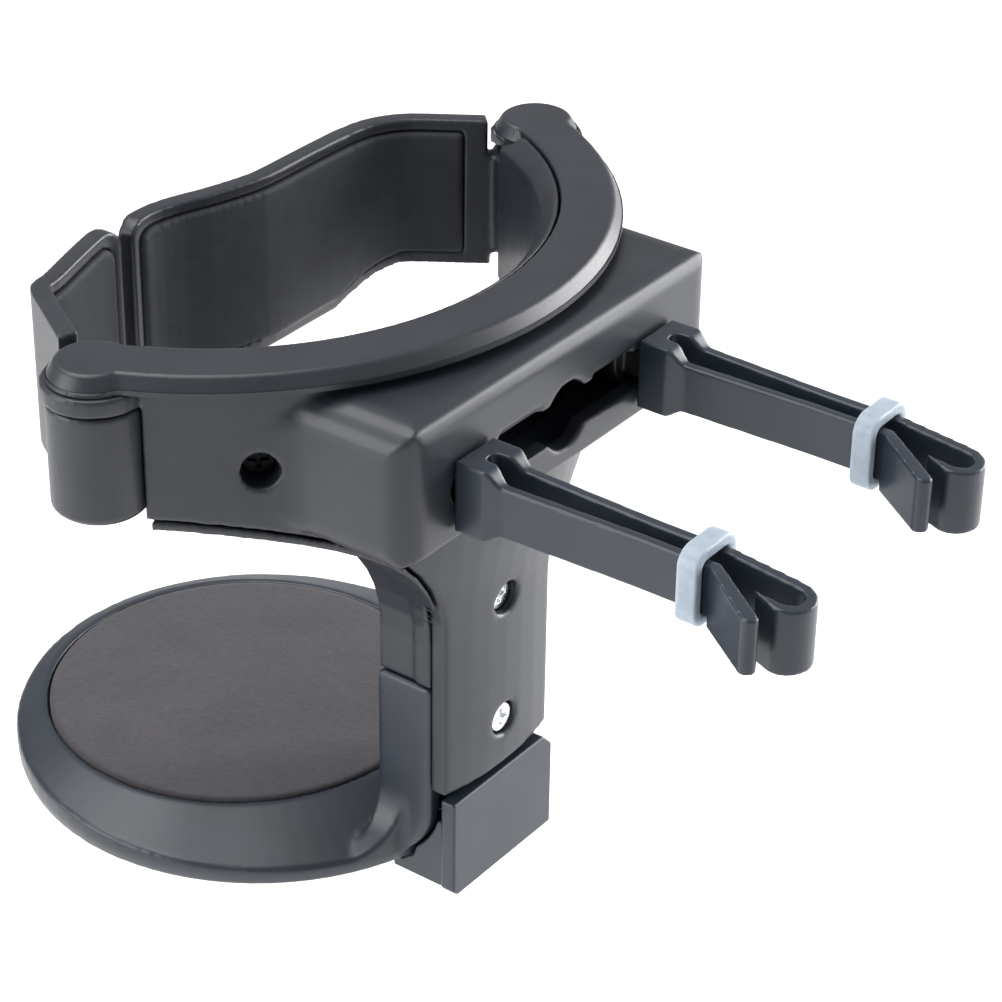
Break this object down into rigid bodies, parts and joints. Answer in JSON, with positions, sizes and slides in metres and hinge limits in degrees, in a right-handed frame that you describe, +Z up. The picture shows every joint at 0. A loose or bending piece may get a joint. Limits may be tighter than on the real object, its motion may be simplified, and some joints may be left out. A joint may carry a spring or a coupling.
{
  "type": "air vent cup holder",
  "caption": "Cup holder hung from an air vent: a half ring with sprung arms, a column, a padded round tray, turning vent clips and a sliding support foot.",
  "frame": {"origin": "middle of the cup seat, on top of the tray pad, on the cup's axis", "axes": "+Z up along the cup, +Y toward the vent and the clips, -Y toward the sprung arms, +X toward the shorter arm"},
  "size_m": [0.1038, 0.1367, 0.089],
  "materials": {
    "charcoal_plastic": "satin moulded",
    "tray_plastic": "satin moulded",
    "clip_plastic": "satin moulded",
    "slider_plastic": "plain moulded",
    "soft_rubber": "matte",
    "foam_rubber": "fine open cell",
    "silicone": "translucent milky",
    "zinc_screw": "bright zinc plate",
    "bright_steel": "drawn and ground"
  },
  "bodies": {
    "holder_body": {"outer_shell": "charcoal_plastic", "inner_liner": "charcoal_plastic", "cover_ring": "charcoal_plastic", "upper_column_screw": "zinc_screw", "lower_column_screw": "zinc_screw", "left_wall_screw": "zinc_screw", "right_wall_screw": "zinc_screw", "left_hinge_pin": "bright_steel", "right_hinge_pin": "bright_steel", "left_hinge_screw": "zinc_screw", "right_hinge_screw": "zinc_screw", "left_torsion_spring": "bright_steel", "right_torsion_spring": "bright_steel", "tray": "tray_plastic", "tray_pad": "foam_rubber"},
    "left_arm_body": {"left_arm": "charcoal_plastic", "left_arm_pad": "soft_rubber"},
    "right_arm_body": {"right_arm": "charcoal_plastic", "right_arm_pad": "soft_rubber"},
    "left_slider_body": {"left_clip_slider": "slider_plastic"},
    "left_clip_body": {"left_vent_clip": "clip_plastic", "left_clip_retainer": "bright_steel"},
    "left_ring_body": {"left_clip_ring": "silicone"},
    "right_slider_body": {"right_clip_slider": "slider_plastic"},
    "right_clip_body": {"right_vent_clip": "clip_plastic", "right_clip_retainer": "bright_steel"},
    "right_ring_body": {"right_clip_ring": "silicone"},
    "foot_body": {"support_foot": "clip_plastic"}
  },
  "joints": [
    {"name": "left_arm_hinge", "type": "hinge", "parent": "holder_body", "child": "left_arm_body", "pos_m": [0.0452, 0.01799, 0.066], "axis": [0, 0, 1], "range_deg": [0, 50], "stiffness_Nm_per_rad": 0.12, "springref_deg": -14.32},
    {"name": "right_arm_hinge", "type": "hinge", "parent": "holder_body", "child": "right_arm_body", "pos_m": [-0.0452, 0.01799, 0.066], "axis": [0, 0, -1], "range_deg": [0, 50], "stiffness_Nm_per_rad": 0.12, "springref_deg": -14.32},
    {"name": "left_clip_slide", "type": "slide", "parent": "holder_body", "child": "left_slider_body", "axis": [-1, 0, 0], "range_m": [0, 0.01]},
    {"name": "left_clip_turn", "type": "hinge", "parent": "left_slider_body", "child": "left_clip_body", "pos_m": [0.0202, 0.056, 0.064], "axis": [0, 1, 0], "range_deg": [-90, 90]},
    {"name": "left_ring_slide", "type": "slide", "parent": "left_clip_body", "child": "left_ring_body", "axis": [0, -1, 0], "range_m": [0, 0.006]},
    {"name": "right_clip_slide", "type": "slide", "parent": "holder_body", "child": "right_slider_body", "axis": [1, 0, 0], "range_m": [0, 0.01]},
    {"name": "right_clip_turn", "type": "hinge", "parent": "right_slider_body", "child": "right_clip_body", "pos_m": [-0.019, 0.056, 0.064], "axis": [0, 1, 0], "range_deg": [-90, 90]},
    {"name": "right_ring_slide", "type": "slide", "parent": "right_clip_body", "child": "right_ring_body", "axis": [0, -1, 0], "range_m": [0, 0.006]},
    {"name": "foot_slide", "type": "slide", "parent": "holder_body", "child": "foot_body", "axis": [0, 1, 0], "range_m": [0, 0.02]}
  ]
}
